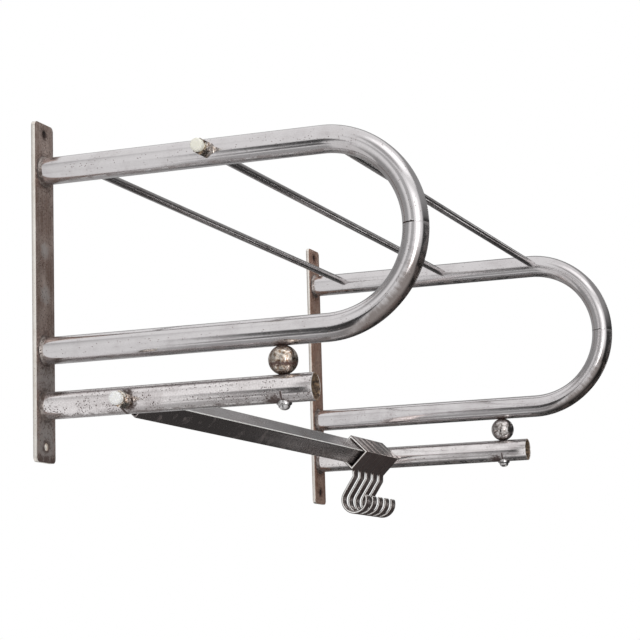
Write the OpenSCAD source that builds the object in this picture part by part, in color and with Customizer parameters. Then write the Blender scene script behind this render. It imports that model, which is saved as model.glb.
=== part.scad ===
// Wall coat rack. Two side frames of bent tube stand on upright wall strips. Three thin rods
// across the tops of the frames carry hats, and a square bar set on edge between the lower
// arms carries five hooks that slide along it.
// X runs along the wall, Y is 0 on the wall and negative into the room, and Z is up.
// The origin is the middle of the four wall screw holes, on the face of the wall.

/* [Side frames] */
// Distance between the middle planes of the two side frames
frame_spacing = 700; // [500:1:1000]
// Outer diameter of the frame tube
tube_d = 25; // [23:0.5:26]
// Wall thickness of the frame tube
tube_wall = 1.5; // [1:0.1:2]
// Distance from the wall to the foremost face of the loop
loop_reach = 371.5; // [350:0.5:450]
// Radius of the loop's bend on the tube's axis, which is half the loop's height there
bend_r = 83; // [75:1:90]
// Rise from the axis of the lower arm to the axis of the loop's lower run
run_rise = 50; // [46:0.5:60]
// Distance from the wall to the open end of the lower arm
arm_reach = 264; // [240:1:290]
// Length of the plug that bridges the seam in the loop, along the bend
seam_plug_len = 30; // [16:1:50]

/* [Wall strips] */
// Width of a wall strip
strip_w = 35; // [30:0.5:50]
// Thickness of a wall strip
strip_t = 4; // [3:0.5:8]
// Radius of a wall strip's corners
strip_corner_r = 4.5; // [1:0.5:10]
// Length of strip above the axis of the loop's upper run
strip_above = 45; // [36:1:70]
// Length of strip below the axis of the lower arm
strip_below = 51; // [40:1:80]
// Diameter of a wall screw hole
screw_hole_d = 7; // [4:0.5:10]
// Distance from the upper screw hole to the strip's top end
top_hole_inset = 10; // [8:0.5:16]
// Distance from the lower screw hole to the strip's bottom end
bottom_hole_inset = 14; // [8:0.5:20]

/* [Hat rods] */
// Diameter of a hat rod
hat_rod_d = 8; // [6:0.5:10]
// Distance from the wall to the axis of the back hat rod
back_rod_reach = 46; // [30:1:90]
// Distance from the wall to the axis of the middle hat rod
middle_rod_reach = 171; // [120:1:220]
// Distance from the wall to the axis of the front hat rod, in the bend
front_rod_reach = 282; // [281:1:330]
// Distance from a rod's end to the axis of the tube that it enters
rod_end_inset = 4; // [3.5:0.5:8]

/* [Square bar] */
// Side of the square bar
bar_w = 20; // [18:0.5:22]
// Wall thickness of the square bar
bar_wall = 1.5; // [1:0.1:2.5]
// Distance from the wall to the bar's axis
bar_reach = 89; // [70:1:150]
// Drop from the lower arm's axis to the bar's axis
bar_drop = 1.5; // [0:0.5:3]
// Distance from the bar's end edges to the axis of the lower arm
bar_end_inset = 6; // [4:0.5:9]
// Length of the plug in each end of the bar
bar_plug_len = 22; // [16:1:40]

/* [Tie screws] */
// Diameter of a tie screw
tie_screw_d = 4; // [3:0.5:5]
// Depth that a tie screw reaches into the rod or the bar's plug
tie_grip = 15; // [8:1:20]
// Width of a tie screw's six-sided collar, across its corners
collar_w = 15.5; // [12:0.5:17]
// Distance from the tube's outermost line to the collar's outer face
collar_stand = 13; // [5:0.5:15]
// Diameter of a cap's round head
cap_head_d = 12; // [10:0.5:15]
// Length of a cap's round head
cap_head_len = 5; // [4.5:0.5:12]
// Diameter of a cap's neck
cap_neck_d = 9; // [7:0.5:10]
// Length of a cap's neck
cap_neck_len = 5; // [2:0.5:10]
// Radius of the rounding on a cap's head
cap_round_r = 2.5; // [1:0.5:3]
// Depth that a tie screw reaches into a cap's head
cap_grip = 3; // [2:0.5:4]

/* [Ball spacers] */
// Distance from a lower arm's open end to the axis of its ball
ball_inset = 29.5; // [20:0.5:45]
// Depth of the saddle seats in a ball
ball_seat = 0.6; // [0.4:0.1:2]
// Diameter of a ball screw
ball_screw_d = 5; // [4:0.5:6]
// Diameter of a ball screw's flared head
ball_head_d = 13.5; // [11:0.5:16]
// Height of a ball screw's head below the lower arm
ball_head_h = 6.5; // [5:0.5:9]
// Thickness of the flared rim of a ball screw's head
ball_rim_t = 1.2; // [0.8:0.1:1.8]
// Diameter of the dome of a ball screw's head, above its flare
ball_dome_d = 10.5; // [8:0.5:12]
// Width of the slot in a ball screw's head
slot_w = 2; // [0.8:0.1:2.4]
// Depth of the slot in a ball screw's head
slot_depth = 2.2; // [0.8:0.1:3]
// Turn of the slot about the screw's axis, from straight across the rack
slot_turn = 50; // [0:5:90]
// Width of a ball screw's nut, across its corners
nut_w = 9.2; // [8:0.2:11]
// Height of a ball screw's nut above the bottom of the tube's bore
nut_h = 4.5; // [3:0.5:7]
// Length of a ball screw's end past its nut
screw_past_nut = 1.5; // [0.5:0.5:4]

/* [Hooks] */
// Length of a hook's sleeve along the bar
hook_sleeve_w = 22; // [15:0.5:25]
// Width of the strip that a hook is bent from
hook_strip_w = 12; // [8:0.5:14]
// Thickness of a hook's metal
hook_t = 3; // [2:0.25:4]
// Straight drop from the sleeve's bottom edge to the hook's kink
hook_neck = 7; // [4:0.5:12]
// Radius of the hook's curve, measured to the strip's outer face
hook_r = 16; // [12:0.25:20]
// Distance from the bar's axis forward to the centre of the hook's curve
hook_forward = 0; // [-2:0.25:8]
// Distance from the bar's axis down to the centre of the hook's curve
hook_drop = 55; // [50:0.25:70]
// Rise of the hook's tip above the centre of its curve
hook_tip_rise = 3.5; // [0:0.5:8]
// Clearance between a hook's sleeve and the bar's upper faces, on which it hangs
hook_gap = 0.3; // [0.2:0.1:0.8]
// Extra room between a hook's sleeve and the bar's lower faces
hook_play = 1.8; // [0:0.1:3]
// Gap from one hook to the next when they are pushed together
hook_spacing = 0.2; // [0.2:0.1:2]
// Gap from the last hook to the right lower arm
hook_end_gap = 0.5; // [0.3:0.1:5]

/* [Fits] */
// Clearance all round a screw, rod or plug in its hole
fit_gap = 0.1; // [0.05:0.05:0.25]
// Depth that a tapped hole runs past the end of its tie screw
tap_spare = 2; // [1:0.5:4]
// Distance from the side of a lower arm to the plug in the bar's end
plug_setback = 1; // [0.5:0.5:4]
// Clearance between a saddle seat and the tube that it fits
seat_gap = 0.1; // [0.05:0.05:0.25]

/* [Hidden] */
$fn = 96;
LEFT = -1;
RIGHT = 1;
UP = 0;
DOWN = 1;
HOOKS = 5;
// Length that a cut runs past the face that it opens
over = 1;

half_spacing = frame_spacing / 2;
bore_d = tube_d - 2 * tube_wall;
bend_start = loop_reach - tube_d / 2 - bend_r;
// Heights above the lower arm's axis, then that axis itself, with the holes' middle at 0
strip_top_rise = run_rise + 2 * bend_r + strip_above;
arm_z = -(strip_top_rise - top_hole_inset - strip_below + bottom_hole_inset) / 2;
run_z = arm_z + run_rise;
loop_mid_z = run_z + bend_r;
strip_top_z = arm_z + strip_top_rise;
strip_bottom_z = arm_z - strip_below;
bar_z = arm_z - bar_drop;
hook_bore_w = bar_w + 2 * hook_gap + hook_play;
sleeve_w = hook_bore_w + 2 * hook_t;
// A sleeve hangs with its own axis this far below the bar's
hook_hang = hook_play / sqrt(2);
// A sleeve set on edge reaches this far below the bar's axis
sleeve_below = sleeve_w / sqrt(2) + hook_hang;
rod_z = upper_axis_z(middle_rod_reach);
tie_hole_d = tie_screw_d + 2 * fit_gap;
plug_inset = tube_d / 2 + plug_setback;
tie_out = tube_d / 2 + collar_stand + cap_neck_len + cap_grip;
ball_reach = arm_reach - ball_inset;
ball_d = run_rise - tube_d + 2 * ball_seat;
ball_z = arm_z + run_rise / 2;
ball_hole_d = ball_screw_d + 2 * fit_gap;
ball_screw_top_z = run_z - bore_d / 2 + nut_h + screw_past_nut;
seam_plug_angle = seam_plug_len / bend_r * 180 / PI;
hook_pitch = hook_sleeve_w + hook_spacing;
last_hook_x = half_spacing - tube_d / 2 - hook_end_gap - hook_sleeve_w / 2;

chrome_colour = [0.74, 0.72, 0.73];
worn_chrome_colour = [0.55, 0.52, 0.52];
dark_steel_colour = [0.36, 0.33, 0.34];
strip_colour = [0.45, 0.39, 0.38];
brass_colour = [0.66, 0.52, 0.33];
cap_colour = [0.94, 0.93, 0.86];

// Height of the loop's upper axis at a distance from the wall
function upper_axis_z(reach) =
    loop_mid_z + (reach <= bend_start ? bend_r : sqrt(bend_r * bend_r - pow(reach - bend_start, 2)));

// Points along an arc, from one angle to another
function arc(centre, r, from, to, steps = 12) =
    [for (i = [0:steps]) let (a = from + (to - from) * i / steps) centre + r * [cos(a), sin(a)]];

// Places what is drawn for the right frame, with +X outward, on either side
module at_side(side) {
    mirror([side < 0 ? 1 : 0, 0, 0]) translate([half_spacing, 0, 0]) children();
}

// Stands up a side view, drawn with X as distance from the wall and Y as height
module side_view() {
    rotate([90, 0, -90]) children();
}

// Round bar across the frames' direction, drawn outward along +X from a point
module cross_bar_from(x, reach, z, len, d) {
    translate([x, -reach, z]) rotate([0, 90, 0]) cylinder(h = len, d = d);
}

// Solid round bar along the path of one half of the loop, with its ends lengthened
module half_loop_path(d, flip, extra = 0) {
    seam_extra = extra / bend_r * 180 / PI;
    translate([0, loop_mid_z, 0]) mirror([0, flip, 0]) {
        translate([strip_t - extra, bend_r, 0]) rotate([0, 90, 0])
            cylinder(h = bend_start - strip_t + extra, d = d);
        translate([bend_start, 0, 0]) rotate_extrude(angle = 90 + seam_extra, start = -seam_extra)
            translate([bend_r, 0]) circle(d = d);
    }
}

// Upright strip with two screw holes, flat against the wall
module wall_strip(side) {
    w = strip_w / 2 - strip_corner_r;
    low = strip_bottom_z + strip_corner_r;
    high = strip_top_z - strip_corner_r;
    outline = concat(
        arc([w, high], strip_corner_r, 0, 90), arc([-w, high], strip_corner_r, 90, 180),
        arc([-w, low], strip_corner_r, 180, 270), arc([w, low], strip_corner_r, 270, 360));
    color(strip_colour) at_side(side) difference() {
        rotate([90, 0, 0]) linear_extrude(strip_t) polygon(outline);
        for (z = [strip_top_z - top_hole_inset, strip_bottom_z + bottom_hole_inset])
            translate([0, over, z]) rotate([90, 0, 0]) cylinder(h = strip_t + 2 * over, d = screw_hole_d);
    }
}

// Upper half of a loop: the top run and a quarter bend, drilled for the three rods
module loop_upper(side) {
    color(chrome_colour) at_side(side) difference() {
        side_view() half_loop_path(tube_d, UP);
        side_view() half_loop_path(bore_d, UP, over);
        for (reach = [back_rod_reach, middle_rod_reach, front_rod_reach])
            cross_bar_from(-tube_d, reach, upper_axis_z(reach), tube_d, hat_rod_d + 2 * fit_gap);
        cross_bar_from(0, middle_rod_reach, upper_axis_z(middle_rod_reach), tube_d, tie_hole_d);
    }
}

// Lower half of a loop: the lower run and a quarter bend, drilled for the ball screw
module loop_lower(side) {
    color(chrome_colour) at_side(side) difference() {
        side_view() half_loop_path(tube_d, DOWN);
        side_view() half_loop_path(bore_d, DOWN, over);
        translate([0, -ball_reach, run_z - tube_d]) cylinder(h = tube_d, d = ball_hole_d);
    }
}

// Curved plug inside the tube, across the seam between the halves of a loop
module seam_plug(side) {
    color(dark_steel_colour) at_side(side) side_view() translate([bend_start, loop_mid_z, 0])
        rotate_extrude(angle = seam_plug_angle, start = -seam_plug_angle / 2)
            translate([bend_r, 0]) circle(d = bore_d - 2 * fit_gap);
}

// Straight lower arm with an open end, drilled for the bar's tie screw and the ball screw
module lower_arm(side) {
    color(chrome_colour) at_side(side) difference() {
        translate([0, -strip_t, arm_z]) rotate([90, 0, 0]) cylinder(h = arm_reach - strip_t, d = tube_d);
        translate([0, over - strip_t, arm_z]) rotate([90, 0, 0])
            cylinder(h = arm_reach - strip_t + 2 * over, d = bore_d);
        cross_bar_from(-tube_d, bar_reach, bar_z, 2 * tube_d, tie_hole_d);
        translate([0, -ball_reach, arm_z - tube_d]) cylinder(h = 2 * tube_d, d = ball_hole_d);
    }
}

// Bored ball between the lower arm and the loop, with a saddle seat for each tube
module ball_spacer(side) {
    color(side == LEFT ? brass_colour : chrome_colour) at_side(side) difference() {
        translate([0, -ball_reach, ball_z]) sphere(d = ball_d);
        for (z = [arm_z, run_z])
            translate([0, ball_d - ball_reach, z]) rotate([90, 0, 0])
                cylinder(h = 2 * ball_d, d = tube_d + 2 * seat_gap);
        translate([0, -ball_reach, ball_z - ball_d]) cylinder(h = 2 * ball_d, d = ball_hole_d);
    }
}

// Screw up through the lower arm and the ball, with a flared and slotted dome head
module ball_screw(side) {
    r = ball_head_d / 2;
    dome_r = ball_dome_d / 2;
    dome_h = ball_head_h - 2 * ball_rim_t;
    rise = tube_d / 2;
    shank = ball_screw_top_z - arm_z + rise + ball_rim_t;
    // Outline of the head, from its seat at the tube's axis down to the tip of its dome
    profile = concat(
        [[0, rise], [r, rise], [r, -ball_rim_t], [dome_r, -2 * ball_rim_t]],
        [for (a = [10:10:90]) [dome_r * cos(a), -2 * ball_rim_t - dome_h * sin(a)]]);
    color(worn_chrome_colour) at_side(side) translate([0, -ball_reach, arm_z - rise]) {
        translate([0, 0, -ball_rim_t]) cylinder(h = shank, d = ball_screw_d);
        difference() {
            rotate_extrude() polygon(profile);
            translate([0, r, rise]) rotate([90, 0, 0]) cylinder(h = 2 * r, d = tube_d + 2 * seat_gap);
            rotate([0, 0, slot_turn]) translate([-r, -slot_w / 2, -ball_head_h - over])
                cube([2 * r, slot_w, slot_depth + over]);
        }
    }
}

// Nut inside the lower run, shaped below to the tube's bore
module ball_nut(side) {
    color(dark_steel_colour) at_side(side) translate([0, -ball_reach, run_z]) difference() {
        intersection() {
            translate([0, 0, -bore_d / 2]) cylinder(h = nut_h, d = nut_w, $fn = 6);
            translate([0, nut_w, 0]) rotate([90, 0, 0]) cylinder(h = 2 * nut_w, d = bore_d - 2 * seat_gap);
        }
        translate([0, 0, -bore_d]) cylinder(h = bore_d, d = ball_hole_d);
    }
}

// Round rod between the two loops, tapped at both ends where tie screws hold it
module hat_rod(reach, tapped = false) {
    x = half_spacing - rod_end_inset;
    z = upper_axis_z(reach);
    depth = tie_grip + tap_spare;
    color(dark_steel_colour) difference() {
        cross_bar_from(-x, reach, z, 2 * x, hat_rod_d);
        if (tapped) for (start = [-x - over, x - depth])
            cross_bar_from(start, reach, z, depth + over, tie_hole_d);
    }
}

// Square tube set on edge, with its ends coped to the lower arms
module crossbar() {
    len = frame_spacing - 2 * bar_end_inset;
    color(worn_chrome_colour) translate([0, -bar_reach, bar_z]) difference() {
        rotate([45, 0, 0]) difference() {
            cube([len, bar_w, bar_w], center = true);
            cube([len + 2 * over, bar_w - 2 * bar_wall, bar_w - 2 * bar_wall], center = true);
        }
        for (x = [-half_spacing, half_spacing])
            translate([x, bar_w, bar_drop]) rotate([90, 0, 0])
                cylinder(h = 2 * bar_w, d = tube_d + 2 * seat_gap);
    }
}

// Square plug in the bar's end, tapped for the tie screw
module bar_plug(side) {
    w = bar_w - 2 * bar_wall - 2 * fit_gap;
    color(dark_steel_colour) at_side(side) difference() {
        translate([-plug_inset - bar_plug_len / 2, -bar_reach, bar_z]) rotate([45, 0, 0])
            cube([bar_plug_len, w, w], center = true);
        cross_bar_from(-tube_d - bar_plug_len, bar_reach, bar_z, tube_d + bar_plug_len, tie_hole_d);
    }
}

// Plain shank of a tie screw, from inside the rod or plug out into its cap. The rod or plug
// begins at the inner distance from the frame's middle plane.
module tie_screw(side, reach, z, inner) {
    start = inner + tie_grip;
    color(worn_chrome_colour) at_side(side) cross_bar_from(-start, reach, z, start + tie_out, tie_screw_d);
}

// Six-sided collar round a tie screw, saddled on the outside of the tube, whose axis may lie
// above the screw's
module tie_collar(side, reach, z, tube_rise = 0) {
    color(chrome_colour) at_side(side) translate([0, -reach, z]) difference() {
        rotate([0, 90, 0]) cylinder(h = tube_d / 2 + collar_stand, d = collar_w, $fn = 6);
        translate([0, collar_w, tube_rise]) rotate([90, 0, 0])
            cylinder(h = 2 * collar_w, d = tube_d + 2 * seat_gap);
        rotate([0, 90, 0]) cylinder(h = tube_d + collar_stand, d = tie_hole_d);
    }
}

// Moulded round cap on the outer end of a tie screw
module tie_cap(side, reach, z) {
    len = cap_neck_len + cap_head_len;
    r = cap_head_d / 2;
    bore = tie_hole_d / 2;
    hole_len = cap_neck_len + cap_grip + fit_gap;
    profile = concat(
        [[bore, 0], [cap_neck_d / 2, 0], [cap_neck_d / 2, cap_neck_len], [r, cap_neck_len]],
        arc([r - cap_round_r, len - cap_round_r], cap_round_r, 0, 90, 6),
        [[0, len], [0, hole_len], [bore, hole_len]]);
    color(cap_colour) at_side(side) translate([tube_d / 2 + collar_stand, -reach, z])
        rotate([0, 90, 0]) rotate_extrude() polygon(profile);
}

// Hook of bent strip under a square sleeve that slides along the bar, counted from the left
module hook(number) {
    x = last_hook_x - (HOOKS - number) * hook_pitch;
    r = hook_r - hook_t / 2;
    h = hook_t / 2;
    centre = [hook_forward, -hook_drop];
    kink = [0, -sleeve_below - hook_neck];
    reach = norm(kink - centre);
    lean = atan2(kink.y - centre.y, kink.x - centre.x);
    start = lean + acos(r / reach);
    finish = 360 + asin(hook_tip_rise / r);
    tip = centre + r * [cos(finish), sin(finish)];
    // The two sides of the slanted part meet those of the neck on the kink's mitre
    mitre = h * tan((start - 180) / 2);
    top = h - sleeve_below;
    back = concat([[-h, top], [-h, kink.y - mitre]], arc(centre, hook_r, start, finish, 40));
    end = arc(tip, h, finish, finish + 180, 8);
    front = concat(arc(centre, hook_r - hook_t, finish, start, 40), [[h, kink.y + mitre], [h, top]]);
    color(dark_steel_colour) translate([x, -bar_reach, bar_z]) difference() {
        union() {
            translate([0, 0, -hook_hang]) rotate([45, 0, 0])
                cube([hook_sleeve_w, sleeve_w, sleeve_w], center = true);
            side_view() translate([0, 0, -hook_strip_w / 2]) linear_extrude(hook_strip_w)
                polygon(concat(back, end, front));
        }
        translate([0, 0, -hook_hang]) rotate([45, 0, 0])
            cube([hook_sleeve_w + 2 * over, hook_bore_w, hook_bore_w], center = true);
    }
}

wall_strip(LEFT);  // left_wall_strip
wall_strip(RIGHT);  // right_wall_strip
loop_upper(LEFT);  // left_loop_upper
loop_lower(LEFT);  // left_loop_lower
loop_upper(RIGHT);  // right_loop_upper
loop_lower(RIGHT);  // right_loop_lower
seam_plug(LEFT);  // left_seam_plug
seam_plug(RIGHT);  // right_seam_plug
lower_arm(LEFT);  // left_lower_arm
lower_arm(RIGHT);  // right_lower_arm
ball_spacer(LEFT);  // left_ball_spacer
ball_spacer(RIGHT);  // right_ball_spacer
ball_screw(LEFT);  // left_ball_screw
ball_screw(RIGHT);  // right_ball_screw
ball_nut(LEFT);  // left_ball_nut
ball_nut(RIGHT);  // right_ball_nut
hat_rod(back_rod_reach);  // hat_rod_back
hat_rod(middle_rod_reach, true);  // hat_rod_middle
hat_rod(front_rod_reach);  // hat_rod_front
crossbar();
bar_plug(LEFT);  // left_bar_plug
bar_plug(RIGHT);  // right_bar_plug
tie_screw(LEFT, middle_rod_reach, rod_z, rod_end_inset);  // left_rod_screw
tie_screw(RIGHT, middle_rod_reach, rod_z, rod_end_inset);  // right_rod_screw
tie_screw(LEFT, bar_reach, bar_z, plug_inset);  // left_bar_screw
tie_screw(RIGHT, bar_reach, bar_z, plug_inset);  // right_bar_screw
tie_collar(LEFT, middle_rod_reach, rod_z);  // left_rod_collar
tie_collar(RIGHT, middle_rod_reach, rod_z);  // right_rod_collar
tie_collar(LEFT, bar_reach, bar_z, bar_drop);  // left_bar_collar
tie_collar(RIGHT, bar_reach, bar_z, bar_drop);  // right_bar_collar
tie_cap(LEFT, middle_rod_reach, rod_z);  // left_rod_cap
tie_cap(RIGHT, middle_rod_reach, rod_z);  // right_rod_cap
tie_cap(LEFT, bar_reach, bar_z);  // left_bar_cap
tie_cap(RIGHT, bar_reach, bar_z);  // right_bar_cap
hook(1);  // hook_1
hook(2);  // hook_2
hook(3);  // hook_3
hook(4);  // hook_4
hook(5);  // hook_5
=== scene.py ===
"""Looks of a wall coat rack: old chromed tube frames, hat rods, a square bar and sliding hooks.

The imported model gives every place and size. This script dresses its nodes, makes the frame
tubes, wall strips, welds and hooks as finer meshes, and sets up the studio and the camera.
"""

import logging
import math
from dataclasses import dataclass
from enum import Enum
from typing import Optional, Sequence

import bmesh
import bpy
from mathutils import Matrix, Vector, noise


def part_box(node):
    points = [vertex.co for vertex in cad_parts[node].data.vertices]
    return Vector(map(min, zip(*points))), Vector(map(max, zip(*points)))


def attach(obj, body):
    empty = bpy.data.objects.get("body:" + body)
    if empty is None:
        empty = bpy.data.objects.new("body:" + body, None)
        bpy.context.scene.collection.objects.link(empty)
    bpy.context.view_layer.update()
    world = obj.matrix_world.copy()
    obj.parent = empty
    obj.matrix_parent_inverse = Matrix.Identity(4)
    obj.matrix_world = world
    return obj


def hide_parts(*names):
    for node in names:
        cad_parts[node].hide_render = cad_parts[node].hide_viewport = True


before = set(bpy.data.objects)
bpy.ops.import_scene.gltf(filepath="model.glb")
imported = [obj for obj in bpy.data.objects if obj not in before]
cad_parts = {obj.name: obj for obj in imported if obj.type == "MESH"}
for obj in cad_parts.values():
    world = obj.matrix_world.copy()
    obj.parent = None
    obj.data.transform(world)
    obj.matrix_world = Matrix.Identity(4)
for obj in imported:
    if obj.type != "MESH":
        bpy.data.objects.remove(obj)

LOG = logging.getLogger("coat_rack")
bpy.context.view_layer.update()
MM = 0.001
TUBE_LAY = "tube_lay"
DOUBLE = 1e-6
FLAT = math.radians(0.5)
Pair = tuple[float, float]
Triple = tuple[float, float, float]
Colour = Triple
BMesh, BMVert, BMEdge = bmesh.types.BMesh, bmesh.types.BMVert, bmesh.types.BMEdge
Edges = list[BMEdge]
Object, Material = bpy.types.Object, bpy.types.Material
Looks = dict[str, Material]
Tree, Node, Socket = bpy.types.NodeTree, bpy.types.Node, bpy.types.NodeSocket


class Side(Enum):
    """The two side frames, named as seen from the room."""

    LEFT = "left"
    RIGHT = "right"

    @property
    def sign(self) -> int:
        """Direction of this side along X."""
        return -1 if self is Side.LEFT else 1


class Half(Enum):
    """The two halves of a looped frame tube, which meet at the foremost point."""

    UPPER = "upper"
    LOWER = "lower"

    @property
    def sign(self) -> int:
        """Direction of this half along Z from the loop's middle."""
        return 1 if self is Half.UPPER else -1


@dataclass(frozen=True)
class Span:
    """The box of a node, with its centre and size at hand."""

    low: Vector
    high: Vector

    @classmethod
    def of(cls, node: str) -> "Span":
        """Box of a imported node.

        Args:
            node: Name of the node.

        Returns:
            The node's box at rest.
        """
        low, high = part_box(node)
        return cls(low, high)

    @property
    def centre(self) -> Vector:
        """Middle of the box."""
        return (self.low + self.high) / 2

    @property
    def size(self) -> Vector:
        """Length of the box along each axis."""
        return self.high - self.low


def side_spans(side: Side, *parts: str) -> list[Span]:
    """Boxes of one side's parts."""
    return [Span.of(f"{side.value}_{part}") for part in parts]


def channel(level: int) -> float:
    """Linear share of an 8-bit display level."""
    share = level / 255
    return share / 12.92 if share <= 0.04045 else ((share + 0.055) / 1.055) ** 2.4


def srgb(red: int, green: int, blue: int) -> Colour:
    """Linear colour of an 8-bit display colour."""
    return channel(red), channel(green), channel(blue)


class Graph:
    """A node tree with short calls to add and join its nodes."""

    def __init__(self, tree: Tree) -> None:
        """Keeps the tree that the calls add to."""
        self.tree = tree

    def feed(self, node: Node, inputs: dict) -> None:
        """Joins or sets a node's inputs.

        Args:
            node: Node to feed.
            inputs: Value or output socket for each named or numbered input.
        """
        for key, value in inputs.items():
            if isinstance(value, Socket):
                self.tree.links.new(value, node.inputs[key])
            else:
                node.inputs[key].default_value = value

    def add(self, kind: str, inputs: Optional[dict] = None, **settings: object) -> Node:
        """Adds a node, sets it up and feeds it.

        Args:
            kind: Blender's name of the node type.
            inputs: Value or output socket for each named or numbered input.
            settings: Properties of the node.

        Returns:
            The new node.
        """
        node = self.tree.nodes.new(kind)
        for name, value in settings.items():
            setattr(node, name, value)
        self.feed(node, inputs or {})
        return node

    def math(self, operation: str, *values: object, clamp: bool = False) -> Socket:
        """Joins values through one Math node and gives its output."""
        node = self.add("ShaderNodeMath", dict(enumerate(values)), operation=operation, use_clamp=clamp)
        return node.outputs[0]

    def vector(self, operation: str, first: object, second: object) -> Node:
        """Joins two vectors through one Vector Math node."""
        return self.add("ShaderNodeVectorMath", {0: first, 1: second}, operation=operation)

    def part(self, vector: Socket, axis: str) -> Socket:
        """Gives a vector's share along one axis."""
        return self.add("ShaderNodeSeparateXYZ", {0: vector}).outputs[axis]

    def spot(self) -> Socket:
        """Gives the place on the object."""
        return self.add("ShaderNodeTexCoord").outputs["Object"]

    def noise(self, vector: Socket, scale: object, detail: float = 2.0, roughness: float = 0.5) -> Socket:
        """Gives the level of a noise pattern."""
        return self.add("ShaderNodeTexNoise", {"Vector": vector, "Scale": scale, "Detail": detail,
                                               "Roughness": roughness}).outputs["Fac"]

    def steps(self, value: Socket, low: object, high: object, start: float = 0.0,
              end: float = 1.0) -> Socket:
        """Maps a value smoothly from one range to another.

        Args:
            value: Value to map.
            low: Value that gives start.
            high: Value that gives end.
            start: Output at and below low.
            end: Output at and above high.

        Returns:
            The output socket.
        """
        node = self.add("ShaderNodeMapRange", {"Value": value, "From Min": low, "From Max": high,
                                               "To Min": start, "To Max": end},
                        interpolation_type="SMOOTHSTEP")
        return node.outputs["Result"]

    def mix(self, share: object, first: object, second: object) -> Socket:
        """Mixes two colours by a share and gives the mixed colour."""
        pair = [(*value, 1.0) if isinstance(value, tuple) else value for value in (first, second)]
        return self.add("ShaderNodeMix", {0: share, 6: pair[0], 7: pair[1]}, data_type="RGBA").outputs[2]

    def blend(self, share: Socket, first: object, second: object) -> Socket:
        """Mixes two numbers by a share and gives the mixed number."""
        return self.add("ShaderNodeMix", {0: share, 2: first, 3: second}, data_type="FLOAT").outputs[0]

    def effect(self, tree: Tree, **inputs: object) -> Socket:
        """Places a shared effect with its own values and gives what it puts out."""
        return self.add("ShaderNodeGroup", inputs, node_tree=tree).outputs[0]


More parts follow.
